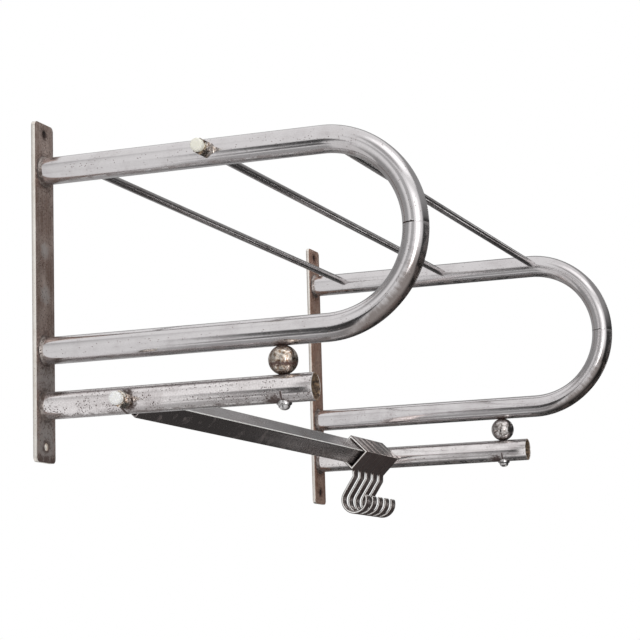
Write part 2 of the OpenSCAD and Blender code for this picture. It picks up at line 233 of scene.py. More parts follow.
class Effects:
    """Shader groups that several finishes share, each with one number that it puts out."""

    cluster_scale: float = 0.07
    cluster_noise: Pair = (3.0, 0.6)
    cluster_levels: Pair = (0.36, 0.66)
    cluster_amounts: Pair = (0.1, 1.5)
    pit_rim: Pair = (0.20, 0.42)
    cloud_noise: Pair = (6.0, 0.65)
    line_noise: Pair = (4.0, 0.6)
    line_levels: Pair = (0.32, 0.68)
    ragged_scale: float = 420.0
    ragged_noise: Pair = (5.0, 0.7)
    ragged_weight: float = 1.4
    stain_rim: Pair = (1.0, 1.5)
    waver_scale: float = 500.0
    waver: float = 0.8 * MM
    crack_rim: Pair = (0.5, 1.1)

    def __init__(self) -> None:
        """Builds each group once."""
        self.pitting = self._pitting()
        self.cloud = self._cloud()
        self.streaks = self._streaks()
        self.spot = self._spot()
        self.crack = self._crack()

    @staticmethod
    def _new(name: str, vectors: Sequence[str], numbers: Sequence[str] = ()) -> tuple:
        """Makes an empty group with named inputs.

        Args:
            name: Name of the group.
            vectors: Names of its vector inputs.
            numbers: Names of its number inputs.

        Returns:
            The group's graph, the values that it is given, and its output node.
        """
        tree = bpy.data.node_groups.new(name, "ShaderNodeTree")
        for labels, kind in ((vectors, "NodeSocketVector"), (numbers, "NodeSocketFloat")):
            for label in labels:
                tree.interface.new_socket(name=label, in_out="INPUT", socket_type=kind)
        tree.interface.new_socket(name="Mask", in_out="OUTPUT", socket_type="NodeSocketFloat")
        return Graph(tree), tree.nodes.new("NodeGroupInput").outputs, tree.nodes.new("NodeGroupOutput")

    def _pitting(self) -> Tree:
        """Small round pits that gather in clusters.

        Returns:
            The group.
        """
        graph, given, out = self._new("pitting", ("Vector",), ("Cells", "Amount"))
        cells = graph.add("ShaderNodeTexVoronoi", {"Vector": given["Vector"], "Scale": given["Cells"]},
                          feature="F1").outputs
        wide = graph.math("MULTIPLY", given["Cells"], self.cluster_scale)
        cluster = graph.noise(given["Vector"], wide, *self.cluster_noise)
        dot = graph.steps(cells["Distance"], *self.pit_rim, 1.0, 0.0)
        share = graph.math("MULTIPLY", graph.steps(cluster, *self.cluster_levels, *self.cluster_amounts),
                           given["Amount"])
        chance = graph.add("ShaderNodeSeparateColor", {"Color": cells["Color"]}).outputs["Red"]
        chosen = graph.math("LESS_THAN", chance, share)
        graph.feed(out, {"Mask": graph.math("MULTIPLY", dot, chosen)})
        return graph.tree

    def _cloud(self) -> Tree:
        """Soft ragged patches between two levels of noise.

        Returns:
            The group.
        """
        graph, given, out = self._new("ragged patches", ("Vector",), ("Scale", "Low", "High"))
        level = graph.noise(given["Vector"], given["Scale"], *self.cloud_noise)
        graph.feed(out, {"Mask": graph.steps(level, given["Low"], given["High"])})
        return graph.tree

    def _streaks(self) -> Tree:
        """Fine lines drawn out along one direction by a stretched pattern.

        Returns:
            The group.
        """
        graph, given, out = self._new("drawn lines", ("Vector", "Stretch"))
        drawn = graph.vector("MULTIPLY", given["Vector"], given["Stretch"]).outputs["Vector"]
        level = graph.noise(drawn, 1.0, *self.line_noise)
        graph.feed(out, {"Mask": graph.steps(level, *self.line_levels)})
        return graph.tree

    def _spot(self) -> Tree:
        """A ragged round stain about one point.

        Returns:
            The group.
        """
        graph, given, out = self._new("stain spot", ("Vector", "Centre"), ("Radius",))
        away = graph.vector("DISTANCE", given["Vector"], given["Centre"]).outputs["Value"]
        ragged = graph.noise(given["Vector"], self.ragged_scale, *self.ragged_noise)
        level = graph.math("MULTIPLY_ADD", ragged, self.ragged_weight,
                           graph.math("DIVIDE", away, given["Radius"]))
        graph.feed(out, {"Mask": graph.steps(level, *self.stain_rim, 1.0, 0.0)})
        return graph.tree

    def _crack(self) -> Tree:
        """A thin crack in the plate, seen from the side of the rack.

        Returns:
            The group.
        """
        graph, given, out = self._new("plate crack", ("Vector", "Start", "Run"), ("Width",))
        run = given["Run"]
        flat = graph.vector("MULTIPLY", given["Vector"], (0, 1, 1)).outputs["Vector"]
        away = graph.vector("SUBTRACT", flat, given["Start"]).outputs["Vector"]
        ahead, whole = (graph.vector("DOT_PRODUCT", line, run).outputs["Value"] for line in (away, run))
        share = graph.math("DIVIDE", ahead, whole, clamp=True)
        nearest = graph.add("ShaderNodeVectorMath", {0: run, "Scale": share}, operation="SCALE")
        gap = graph.vector("DISTANCE", away, nearest.outputs["Vector"]).outputs["Value"]
        offset = graph.math("MULTIPLY_ADD", graph.noise(given["Vector"], self.waver_scale), self.waver, gap)
        level = graph.math("DIVIDE", graph.math("SUBTRACT", offset, self.waver / 2), given["Width"])
        graph.feed(out, {"Mask": graph.steps(level, *self.crack_rim, 1.0, 0.0)})
        return graph.tree


EFFECTS = Effects()


class Finish:
    """Start of every finish: a material with its shader, its coordinates and its graph."""

    name: str

    def build(self) -> Material:
        """Makes the material.

        Returns:
            The finished material.
        """
        material = bpy.data.materials.new(self.name)
        material.use_nodes = True
        graph = Graph(material.node_tree)
        shader = material.node_tree.nodes["Principled BSDF"]
        self.dress(graph, shader, graph.add("ShaderNodeTexCoord"))
        return material

    def dress(self, graph: Graph, shader: Node, place: Node) -> None:
        """Joins this finish's pattern to the shader."""
        raise NotImplementedError


def add_bump(graph: Graph, shader: Node, height: Socket, depth: float, strength: float = 1.0) -> None:
    """Lets a height pattern turn the light on a surface.

    Args:
        graph: Graph of the material.
        shader: Shader that gets the normal.
        height: Pattern, 1 being the full depth.
        depth: Depth of the pattern in metres.
        strength: Strength of the bump.
    """
    bump = graph.add("ShaderNodeBump", {"Height": height, "Distance": depth, "Strength": strength})
    graph.feed(shader, {"Normal": bump.outputs["Normal"]})


def patches(graph: Graph, spot: Socket, scale: float, levels: Pair) -> Socket:
    """Lays ragged patches where a noise pattern passes from one level to another."""
    return graph.effect(EFFECTS.cloud, Vector=spot, Scale=scale, Low=levels[0], High=levels[1])


@dataclass(frozen=True)
class Stain:
    """Rust that spreads from one place on the metal."""

    centre: Triple
    radius: float

    def mask(self, graph: Graph, spot: Socket) -> Socket:
        """Gives the stain's share at a place."""
        return graph.effect(EFFECTS.spot, Vector=spot, Centre=self.centre, Radius=self.radius)


@dataclass(frozen=True)
class Crack:
    """Fine crack in the plate, from one place to another along Y and Z."""

    start: Pair
    end: Pair
    width: float = 1.6 * MM

    def mask(self, graph: Graph, spot: Socket) -> Socket:
        """Gives the crack's share at a place."""
        run = (0.0, self.end[0] - self.start[0], self.end[1] - self.start[1])
        return graph.effect(EFFECTS.crack, Vector=spot, Start=(0.0, *self.start), Run=run, Width=self.width)


class Lie(Enum):
    """Which way a piece was drawn or rolled, as line counts per metre along each axis."""

    ALONG_WALL = (9.0, 900.0, 900.0)
    UPRIGHT = (420.0, 420.0, 10.0)
    ROUND_TUBE = (11.0, 620.0, 620.0)


@dataclass(frozen=True)
class PlatedSteel(Finish):
    """Old plate over steel: drawn lines, dull patches, pits, and rust that comes through."""

    name: str
    plate: Colour = srgb(210, 207, 208)
    dull: Colour = srgb(190, 185, 186)
    rust: Colour = srgb(92, 68, 60)
    # Colour of pale worn patches and of painted reflections.
    haze_and_reflection: Colour = srgb(158, 153, 151)
    # Colour of the painted shade on the loops' bends, in place of a dark reflection.
    tarnish_and_painted_shade: Colour = srgb(122, 113, 109)
    lie: Lie = Lie.ALONG_WALL
    metallic: float = 1.0
    roughness: float = 0.12
    relief: float = 0.06 * MM
    bump: float = 0.6
    line_share: float = 0.6
    line_depth: float = 0.06
    grain: float = 0.2
    grain_depth: float = 0.5
    grain_scale: float = 850.0
    grain_levels: Pair = (0.36, 0.66)
    wobble: float = 0.0
    wobble_scale: float = 70.0
    dull_scale: float = 30.0
    dull_levels: Pair = (0.42, 0.74)
    dull_blur: float = 0.10
    # Painted shade: faces that look down take the darker dull colour.
    under_painted_shade: float = 0.0
    under_painted_shade_facing: Pair = (-0.4, 0.2)
    cells: float = 700.0
    pitting: float = 0.035
    low_pits: float = 0.0
    low_reach: Pair = (-11 * MM, 4 * MM)
    rust_scale: float = 60.0
    bloom: Pair = (0.62, 0.86)
    rust_cover: float = 0.96
    rust_matt: float = 0.7
    rust_blur: float = 0.40
    # Rust colour on downward faces, partly rust and partly painted shade.
    under_rust_and_shade: float = 0.0
    under_rust_and_shade_facing: Pair = (-0.4, 0.1)
    top_rust: float = 0.0
    top_facing: Pair = (0.78, 0.99)
    top_scale: float = 110.0
    top_levels: Pair = (0.32, 0.62)
    # Rust band along the tube's lower flank, partly a painted dark reflection streak.
    flank_rust_and_painted_streak: float = 0.0
    flank_drop: float = 8.6 * MM
    flank_drift: float = 4.5 * MM
    flank_drift_scale: float = 14.0
    flank_drift_detail: float = 3.0
    flank_reach: Pair = (0.3 * MM, 1.9 * MM)
    flank_scale: float = 130.0
    flank_levels: Pair = (0.36, 0.62)
    # Painted shade on the lower flank of the loops' bends, in place of a dark reflection.
    bend_painted_shade: float = 0.0
    bend_flank: Pair = (-6 * MM, 1.5 * MM)
    bend_ragged: float = 3 * MM
    bend_onset: Pair = (262 * MM, 312 * MM)
    bend_ending: Pair = (366 * MM, 396 * MM)
    bend_brushing: Triple = (260.0, 60.0, 60.0)
    upper_bend_share: float = 0.3
    seam_fade: float = 5 * MM
    haze_and_reflection_share: float = 0.8
    stains: tuple[Stain, ...] = ()
    cracks: tuple[Crack, ...] = ()
    hazes_and_reflections: tuple[Stain, ...] = ()

    def dress(self, graph: Graph, shader: Node, place: Node) -> None:
        """Lays the worn pattern over the plate.

        Args:
            graph: Graph of the material.
            shader: Its shader.
            place: Its coordinates.
        """
        spot = place.outputs["Object"]
        course = spot
        if self.lie is Lie.ROUND_TUBE:
            course = graph.add("ShaderNodeAttribute", attribute_name=TUBE_LAY).outputs["Vector"]
        facing, rise = graph.part(place.outputs["Normal"], "Z"), graph.part(course, "Z")
        lines = graph.effect(EFFECTS.streaks, Vector=course, Stretch=self.lie.value)
        speckle = patches(graph, spot, self.grain_scale, self.grain_levels)
        dulled = graph.math("MULTIPLY", patches(graph, spot, self.dull_scale, self.dull_levels),
                            graph.math("MULTIPLY_ADD", lines, self.line_share, 1 - self.line_share))
        # Painted shade: downward faces take the darker dull colour.
        if self.under_painted_shade > 0:
            under = graph.steps(facing, *self.under_painted_shade_facing, self.under_painted_shade, 0.0)
            dulled = graph.math("MAXIMUM", dulled, under)
        dulled = graph.math("MULTIPLY_ADD", speckle, self.grain, dulled, clamp=True)
        amount: object = self.pitting
        if self.low_pits > 0:
            amount = graph.steps(rise, *self.low_reach, self.pitting + self.low_pits, self.pitting)
        worn = graph.math("MAXIMUM", self.rust_and_shade_mask(graph, spot, course, facing, rise),
                          graph.effect(EFFECTS.pitting, Vector=spot, Cells=self.cells, Amount=amount))
        metal = graph.mix(dulled, self.plate, self.dull)
        # Painted shade: the bends' lower flank is darkened in the plate colour, in place of a dark
        # reflection.
        if self.bend_painted_shade > 0:
            metal = graph.mix(self.bend_shade_mask(graph, spot, course, rise), metal, self.tarnish_and_painted_shade)
        covered = worn
        # Pale patches: worn plate, and painted reflections.
        for pale in self.hazes_and_reflections:
            share = graph.math("MULTIPLY", pale.mask(graph, spot), self.haze_and_reflection_share)
            metal = graph.mix(share, metal, self.haze_and_reflection)
            covered = graph.math("MAXIMUM", covered, share)
        blur = graph.math("MULTIPLY_ADD", dulled, self.dull_blur, self.roughness)
        graph.feed(shader, {
            "Base Color": graph.mix(worn, metal, self.rust),
            "Metallic": graph.math("MULTIPLY_ADD", covered, -self.rust_matt * self.metallic, self.metallic),
            "Roughness": graph.math("MULTIPLY_ADD", worn, self.rust_blur, blur, clamp=True)})
        height = graph.math("SUBTRACT", graph.math("MULTIPLY", lines, self.line_depth), worn)
        height = graph.math("MULTIPLY_ADD", speckle, -self.grain_depth * self.grain, height)
        if self.wobble > 0:
            height = graph.math("MULTIPLY_ADD", graph.noise(course, self.wobble_scale), self.wobble, height)
        add_bump(graph, shader, height, self.relief, self.bump)

    def bend_shade_mask(self, graph: Graph, spot: Socket, course: Socket, rise: Socket) -> Socket:
        """Finds the lower flank of a loop's bends, where the plate is painted dark as shade, most on the
        lower half.

        Args:
            graph: Graph of the material.
            spot: Place on the piece.
            course: Place along and round the tube.
            rise: Height in the tube's round section.

        Returns:
            The share of painted shade.
        """
        brushed = graph.effect(EFFECTS.streaks, Vector=course, Stretch=self.bend_brushing)
        level = graph.math("MULTIPLY_ADD", brushed, self.bend_ragged, rise)
        along, seam_z = graph.part(course, "X"), Span.of("left_loop_upper").low.z
        share = graph.steps(level, *self.bend_flank, self.bend_painted_shade, 0.0)
        for limit in (graph.steps(along, *self.bend_onset), graph.steps(along, *self.bend_ending, 1.0, 0.0),
                      graph.steps(graph.part(spot, "Z"), seam_z - self.seam_fade, seam_z + self.seam_fade,
                                  1.0, self.upper_bend_share)):
            share = graph.math("MULTIPLY", share, limit)
        return share

    def rust_and_shade_mask(self, graph: Graph, spot: Socket, course: Socket, facing: Socket, rise: Socket) -> Socket:
        """Gathers every kind of rust on this finish, with the painted shade on downward faces and the
        painted dark streak along the lower flank.

        Args:
            graph: Graph of the material.
            spot: Place on the piece.
            course: Place along and round the tube, or the same as spot.
            facing: How far the surface faces up.
            rise: Height in the tube's round section, or on the piece.

        Returns:
            The share of rust and painted shade.
        """
        layers = [mark.mask(graph, spot) for mark in (*self.stains, *self.cracks)]
        # Downward faces take the rust colour, partly as painted shade.
        if self.under_rust_and_shade > 0:
            layers.append(graph.steps(facing, *self.under_rust_and_shade_facing, self.under_rust_and_shade, 0.0))
        if self.top_rust > 0:
            band = graph.math("MULTIPLY", graph.steps(facing, *self.top_facing),
                              patches(graph, spot, self.top_scale, self.top_levels))
            layers.append(graph.math("MULTIPLY", band, self.top_rust))
        # Rust band along the lower flank, partly a painted dark reflection streak.
        if self.flank_rust_and_painted_streak > 0:
            drift = graph.noise(course, self.flank_drift_scale, self.flank_drift_detail)
            level = graph.math("MULTIPLY_ADD", drift, self.flank_drift, rise)
            away = graph.math("ABSOLUTE", graph.math("ADD", level, self.flank_drop))
            layers.append(graph.math("MULTIPLY", graph.steps(away, *self.flank_reach, self.flank_rust_and_painted_streak, 0.0),
                                     patches(graph, course, self.flank_scale, self.flank_levels)))
        rust = patches(graph, spot, self.rust_scale, self.bloom)
        for layer in layers:
            rust = graph.math("MAXIMUM", rust, layer)
        return graph.math("MULTIPLY", rust, self.rust_cover)


@dataclass(frozen=True)
class RustySteel(Finish):
    """Bare steel under a skin of brown rust."""

    name: str
    dark: Colour = srgb(58, 44, 38)
    light: Colour = srgb(124, 88, 64)
    roughness: float = 0.6
    metallic: float = 0.35
    scale: float = 150.0
    levels: Pair = (0.35, 0.70)
    blur: float = 0.2
    relief: float = 0.12 * MM

    def dress(self, graph: Graph, shader: Node, place: Node) -> None:
        """Mottles two rust colours.

        Args:
            graph: Graph of the material.
            shader: Its shader.
            place: Its coordinates.
        """
        patch = patches(graph, place.outputs["Object"], self.scale, self.levels)
        graph.feed(shader, {"Base Color": graph.mix(patch, self.dark, self.light),
                            "Metallic": self.metallic,
                            "Roughness": graph.math("MULTIPLY_ADD", patch, self.blur, self.roughness)})
        add_bump(graph, shader, patch, self.relief)


@dataclass(frozen=True)
class CapPlastic(Finish):
    """Moulded plastic with a faint grain and a few grey scuffs."""

    name: str
    colour: Colour = srgb(246, 244, 231)
    scuff: Colour = srgb(190, 184, 168)
    scale: float = 380.0
    levels: Pair = (0.55, 0.80)
    roughness: float = 0.38
    blur: float = 0.25
    under_skin: float = 0.05
    depth: Triple = (0.002, 0.002, 0.0015)
    relief: float = 0.04 * MM
    bump: float = 0.5

    def dress(self, graph: Graph, shader: Node, place: Node) -> None:
        """Lays scuffs over the plastic.

        Args:
            graph: Graph of the material.
            shader: Its shader.
            place: Its coordinates.
        """
        scuffs = patches(graph, place.outputs["Object"], self.scale, self.levels)
        graph.feed(shader, {"Base Color": graph.mix(scuffs, self.colour, self.scuff),
                            "Roughness": graph.math("MULTIPLY_ADD", scuffs, self.blur, self.roughness),
                            "Subsurface Weight": self.under_skin, "Subsurface Radius": self.depth})
        add_bump(graph, shader, scuffs, self.relief, self.bump)


@dataclass(frozen=True)
class TarnishedBrass(Finish):
    """Polished plate with gold-brown tarnished patches, fine dark crazing and rust in bands round the ball.
    """

    name: str
    low_z: float
    high_z: float
    metal: Colour = srgb(216, 208, 199)
    tarnish_and_painted_shade: Colour = srgb(150, 124, 99)
    rust: Colour = srgb(72, 40, 34)
    roughness: float = 0.07
    relief: float = 0.02 * MM
    bump: float = 0.5
    tarnish_scale: float = 460.0
    tarnish_levels: Pair = (0.40, 0.64)
    tarnish_blur: float = 0.10
    fine_scale: float = 420.0
    fine_levels: Pair = (0.30, 0.70)
    cells: float = 700.0
    crazing: float = 0.7
    craze_cover: float = 0.8
    bands: tuple[Pair, ...] = ((0.0, 0.09), (0.33, 0.14), (1.0, 0.13))
    band_core: float = 0.7
    band_fade: float = 0.06
    band_ragged: float = 0.14
    band_cover: float = 0.9
    rust_matt: float = 0.6
    rust_blur: float = 0.30

    def dress(self, graph: Graph, shader: Node, place: Node) -> None:
        """Lays tarnished patches, crazing over them and rust in its bands.

        Args:
            graph: Graph of the material.
            shader: Its shader.
            place: Its coordinates.
        """
        spot = place.outputs["Object"]
        patch = patches(graph, spot, self.tarnish_scale, self.tarnish_levels)
        fine = patches(graph, spot, self.fine_scale, self.fine_levels)
        pits = graph.effect(EFFECTS.pitting, Vector=spot, Cells=self.cells, Amount=self.crazing)
        rise = graph.add("ShaderNodeMapRange", {"Value": graph.part(spot, "Z"), "From Min": self.low_z,
                                                "From Max": self.high_z}).outputs["Result"]
        rust = graph.math("MULTIPLY", pits, self.craze_cover)
        for level, reach in self.bands:
            away = graph.math("ABSOLUTE", graph.math("SUBTRACT", rise, level))
            ragged = graph.math("MULTIPLY_ADD", fine, self.band_ragged, away)
            band = graph.steps(ragged, reach * self.band_core, reach + self.band_fade, self.band_cover, 0.0)
            rust = graph.math("MAXIMUM", rust, band)
        metal = graph.mix(patch, self.metal, self.tarnish_and_painted_shade)
        blur = graph.math("MULTIPLY_ADD", patch, self.tarnish_blur, self.roughness)
        graph.feed(shader, {"Base Color": graph.mix(rust, metal, self.rust),
                            "Metallic": graph.math("MULTIPLY_ADD", rust, -self.rust_matt, 1.0),
                            "Roughness": graph.math("MULTIPLY_ADD", rust, self.rust_blur, blur)})
        add_bump(graph, shader, graph.math("SUBTRACT", fine, rust), self.relief, self.bump)


def dressed(name: str, bm: BMesh, materials: Sequence[Material], replaced: str = "",
            body: str = "rack", smooth: float = 35.0) -> None:
    """Turns a finished mesh into a piece of the rack.

    Args:
        name: Name of the piece.
        bm: Mesh in the frame's own place, which is freed here.
        materials: Materials in the order of the faces' material numbers.
        replaced: Node that the piece stands for.
        body: Body that the piece moves with.
        smooth: Angle in degrees up to which faces shade as one.
    """
    mesh = bpy.data.meshes.new(name)
    bm.normal_update()
    bm.to_mesh(mesh)
    bm.free()
    mesh.shade_smooth()
    mesh.set_sharp_from_angle(angle=math.radians(smooth))
    for material in materials:
        mesh.materials.append(material)
    piece = bpy.data.objects.new(name, mesh)
    bpy.context.scene.collection.objects.link(piece)
    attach(piece, body)
    if replaced:
        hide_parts(replaced)
    LOG.info("%s: %d faces on %s", name, len(mesh.polygons), body)


def rounded(bm: BMesh, edges: Edges, width: float, segments: int = 2, clamped: bool = False) -> None:
    """Rounds edges off, narrower at short ones where it is clamped."""
    bmesh.ops.bevel(bm, geom=edges, offset=width, segments=segments, profile=0.5, affect="EDGES",
                    material=-1, clamp_overlap=clamped)


def capped(bm: BMesh) -> None:
    """Closes every open end of a mesh."""
    bmesh.ops.holes_fill(bm, edges=[e for e in bm.edges if e.is_boundary], sides=0)


def softened_copy(node: str, edge: float, angle: float = 35.0, segments: int = 2,
                  clamped: bool = True) -> BMesh:
    """Copies a node's mesh with its sharp edges rounded.

    Args:
        node: Name of the node.
        edge: Width of the rounding in metres.
        angle: Angle in degrees from which an edge is rounded.
        segments: Faces across the rounding.
        clamped: Whether short edges narrow the rounding.

    Returns:
        The rounded mesh.
    """
    bm = bmesh.new()
    bm.from_mesh(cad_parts[node].data)
    bmesh.ops.remove_doubles(bm, verts=bm.verts, dist=DOUBLE)
    bmesh.ops.dissolve_limit(bm, angle_limit=FLAT, verts=bm.verts, edges=bm.edges)
    bm.normal_update()
    sharp = [e for e in bm.edges if e.is_manifold and e.calc_face_angle() > math.radians(angle)]
    rounded(bm, sharp, edge, segments, clamped)
    bmesh.ops.triangulate(bm, faces=[f for f in bm.faces if len(f.verts) > 4])
    return bm


def dress_node(node: str, material: Material) -> None:
    """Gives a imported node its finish.

    Args:
        node: Name of the node.
        material: Its material.
    """
    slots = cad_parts[node].data.materials
    slots.clear()
    slots.append(material)
    LOG.info("%s: dressed as %s", node, material.name)


@dataclass
class SideFrame:
    """One side of the rack: strip, looped tube, lower arm, welds, ball and their screws."""

    side: Side
    tube_faces: int = 72
    run_steps: int = 12
    bend_steps: int = 40
    wall: float = 1.5 * MM
    bore_share: float = 0.98
    bore_steps: int = 6
    seam_edge: float = 0.6 * MM
    far_seam_share: float = 0.5
    outer_seam_part: float = 3.0
    seam_dirt_reach: float = 0.2
    rim_edge: float = 0.35 * MM
    rim_facing: float = 0.5
    flattening: float = 0.085
    flat_from: float = math.radians(50)
    weld_profile: tuple[Pair, ...] = (
        (-0.4, -0.2), (-0.4, 4.4), (0.1, 4.0), (0.35, 3.2), (0.8, 2.1), (1.4, 1.1), (2.0, 0.4), (2.3, -0.2))
    weld_rim: float = 1.5 * MM
    weld_lumps: float = 260.0
    weld_lump: float = 0.5 * MM
    weld_smooth: float = 60.0
    strip_edge: float = 0.5 * MM
    strip_edge_share: float = 0.9
    strip_facing: float = 0.4
    screw_edge: float = 0.25 * MM
    screw_angle: float = 40.0
    slot_share: float = 0.36
    slot_upright: float = 0.3
    slot_level: float = 0.999
    collar_edge: float = 0.7 * MM
    collar_angle: float = 30.0

    def __post_init__(self) -> None:
        """Reads the frame's places."""
        upper, self.arm, self.strip = side_spans(self.side, "loop_upper", "lower_arm", "wall_strip")
        if self.side is Side.RIGHT:
            self.seam_edge *= self.far_seam_share
        self.radius = self.arm.size.z / 2
        self.x = self.arm.centre.x
        self.front = self.strip.low.y
        self.mid_z = upper.low.z
        self.bend_radius = upper.size.z - self.radius
        self.bend_y = upper.low.y + self.radius + self.bend_radius

    def node(self, part: str) -> str:
        """Name of this side's node of a part."""
        return f"{self.side.value}_{part}"

    def ring_at_wall(self, bm: BMesh, z: float) -> Edges:
        """Draws the tube's round section on the strip's face.

        Args:
            bm: Mesh to add to.
            z: Height of the section's centre.

        Returns:
            The section's edges.
        """
        turn = Matrix.Translation((self.x, self.front, z)) @ Matrix.Rotation(math.pi / 2, 4, "X")
        made = bmesh.ops.create_circle(bm, segments=self.tube_faces, radius=self.radius, matrix=turn)
        return list({e for v in made["verts"] for e in v.link_edges})

    @staticmethod
    def pushed(bm: BMesh, edges: Edges, by: Vector, steps: int = 1) -> Edges:
        """Extrudes edges in steps.

        Args:
            bm: Mesh of the edges.
            edges: Edges to extrude.
            by: Way of all the steps together.
            steps: Number of steps.

        Returns:
            The last edges.
        """
        for _ in range(steps):
            made = bmesh.ops.extrude_edge_only(bm, edges=edges)["geom"]
            moved = [g for g in made if isinstance(g, BMVert)]
            bmesh.ops.translate(bm, verts=moved, vec=by / steps)
            edges = [g for g in made if isinstance(g, BMEdge)
                     and all(v in moved for v in g.verts)]
        return edges

    def write_lay(self, bm: BMesh, z: float, half: Optional[Half] = None) -> None:
        """Notes on each point how far along the tube it is, and where in its round section.

        Args:
            bm: Mesh of the tube.
            z: Height of the tube's straight axis.
            half: Half of the loop, or None for a straight arm.
        """
        lay = bm.verts.layers.float_vector.new(TUBE_LAY)
        for vert in bm.verts:
            along, rise = self.front - vert.co.y, vert.co.z - z
            if half and vert.co.y < self.bend_y:
                arm = Vector((self.bend_y - vert.co.y, vert.co.z - self.mid_z))
                along = self.front - self.bend_y + self.bend_radius * math.atan2(arm.x, half.sign * arm.y)
                rise = half.sign * (arm.length - self.bend_radius)
            vert[lay] = (along, vert.co.x - self.x, rise)

    def make_loop_half(self, half: Half, material: Material, dirt: Material) -> None:
        """Makes one half of the looped tube, slightly flattened where it is bent.

        Args:
            half: Upper or lower half.
            material: Finish of the tube.
            dirt: Finish of the groove at the seam.
        """
        bm = bmesh.new()
        z = self.mid_z + half.sign * self.bend_radius
        ring = self.pushed(bm, self.ring_at_wall(bm, z), Vector((0, self.bend_y - self.front, 0)),
                           self.run_steps)
        seam = bmesh.ops.spin(bm, geom=ring + list({v for e in ring for v in e.verts}),
                              cent=(self.x, self.bend_y, self.mid_z), axis=(1, 0, 0),
                              angle=half.sign * math.pi / 2, steps=self.bend_steps, use_merge=False)
        self.flatten_bend(bm)
        last = [g for g in seam["geom_last"] if isinstance(g, BMEdge)]
        capped(bm)
        inside = self.bend_y - self.bend_radius - self.radius * self.seam_dirt_reach
        inner = [e for e in last if min(v.co.y for v in e.verts) > inside]
        outer = [e for e in last if e not in inner]
        for edges, size in ((inner, self.seam_edge), (outer, self.seam_edge / self.outer_seam_part)):
            rounded(bm, [e for e in edges if e.is_valid], size)
        bmesh.ops.recalc_face_normals(bm, faces=bm.faces)
        for face in bm.faces:
            middle = face.calc_center_median()
            if abs(middle.z - self.mid_z) < self.seam_edge and middle.y > inside:
                face.material_index = 1
        self.write_lay(bm, z, half)
        node = self.node(f"loop_{half.value}")
        dressed(f"{node}_tube", bm, [material, dirt], node)

    def flatten_bend(self, bm: BMesh) -> None:
        """Draws the section in across the bend, most at the nose of the loop.

        Args:
            bm: Mesh of one half of the loop.
        """
        for vert in bm.verts:
            out = self.bend_y - vert.co.y
            if out <= 0:
                continue
            arm = Vector((0, -out, vert.co.z - self.mid_z))
            turn = math.atan2(out, abs(arm.z))
            ease = math.sin(min(1.0, turn / self.flat_from) * math.pi / 2) ** 2
            gap = arm.length - self.bend_radius
            arm.length = self.bend_radius + gap * (1 - self.flattening * ease)
            vert.co.y, vert.co.z = self.bend_y + arm.y, self.mid_z + arm.z

    def make_arm(self, material: Material, inside: Material, cut: Material) -> None:
        """Makes the lower arm with its open end and rusty bore.

        Args:
            material: Finish of the tube.
            inside: Finish of the bore.
            cut: Finish of the cut rim, a painted highlight.
        """
        bm = bmesh.new()
        length = Vector((0, self.arm.low.y - self.front, 0))
        rim = self.pushed(bm, self.ring_at_wall(bm, self.arm.centre.z), length, self.run_steps)
        inner = self.pushed(bm, rim, Vector((0, 0, 0)))
        shrink = 1 - self.wall / self.radius
        centre = Matrix.Translation((-self.x, 0, -self.arm.centre.z))
        bmesh.ops.scale(bm, vec=(shrink, 1, shrink), space=centre,
                        verts=list({v for e in inner for v in e.verts}))
        outside = set(bm.faces)
        self.pushed(bm, inner, -length * self.bore_share, self.bore_steps)
        bore = set(bm.faces) - outside
        capped(bm)
        bore |= {f for f in bm.faces
                 if len(f.verts) > 4 and f.calc_center_median().y < self.front - self.wall}
        for face in bore:
            face.material_index = 1
        rounded(bm, rim + inner, self.rim_edge)
        bmesh.ops.recalc_face_normals(bm, faces=bm.faces)
        for face in bm.faces:
            # End faces toward the room get the painted highlight.
            if face.calc_center_median().y < self.arm.low.y + self.rim_edge:
                face.material_index = 2 if face.normal.y < -self.rim_facing else 0
        self.write_lay(bm, self.arm.centre.z)
        node = self.node("lower_arm")
        dressed(f"{node}_tube", bm, [material, inside, cut], node)

    def make_weld(self, name: str, z: float, material: Material, fringe: Material) -> None:
        """Lays a plated fillet weld round a tube where it meets the strip.

        Args:
            name: Name of the weld.
            z: Height of the tube's axis.
            material: Finish of the weld.
            fringe: Finish of its thin outer rim.
        """
        bm = bmesh.new()
        corners = [bm.verts.new((self.x + self.radius + out * MM, self.front - off * MM, z))
                   for out, off in self.weld_profile]
        chain = [bm.edges.new(pair) for pair in zip(corners, corners[1:] + corners[:1])]
        bmesh.ops.spin(bm, geom=corners + chain, cent=(self.x, self.front, z), axis=(0, 1, 0),
                       angle=2 * math.pi, steps=self.tube_faces, use_merge=True)
        bmesh.ops.remove_doubles(bm, verts=bm.verts, dist=DOUBLE)
        for face in bm.faces:
            middle = face.calc_center_median()
            away = math.hypot(middle.x - self.x, middle.z - z)
            face.material_index = int(away > self.radius + self.weld_rim)
        for vert in bm.verts:
            out = Vector((vert.co.x - self.x, 0, vert.co.z - z))
            if out.length > self.radius and vert.co.y < self.front:
                vert.co += out.normalized() * noise.noise(vert.co * self.weld_lumps) * self.weld_lump
        bmesh.ops.recalc_face_normals(bm, faces=bm.faces)
        dressed(self.node(f"{name}_weld"), bm, [material, fringe],
                smooth=self.weld_smooth)

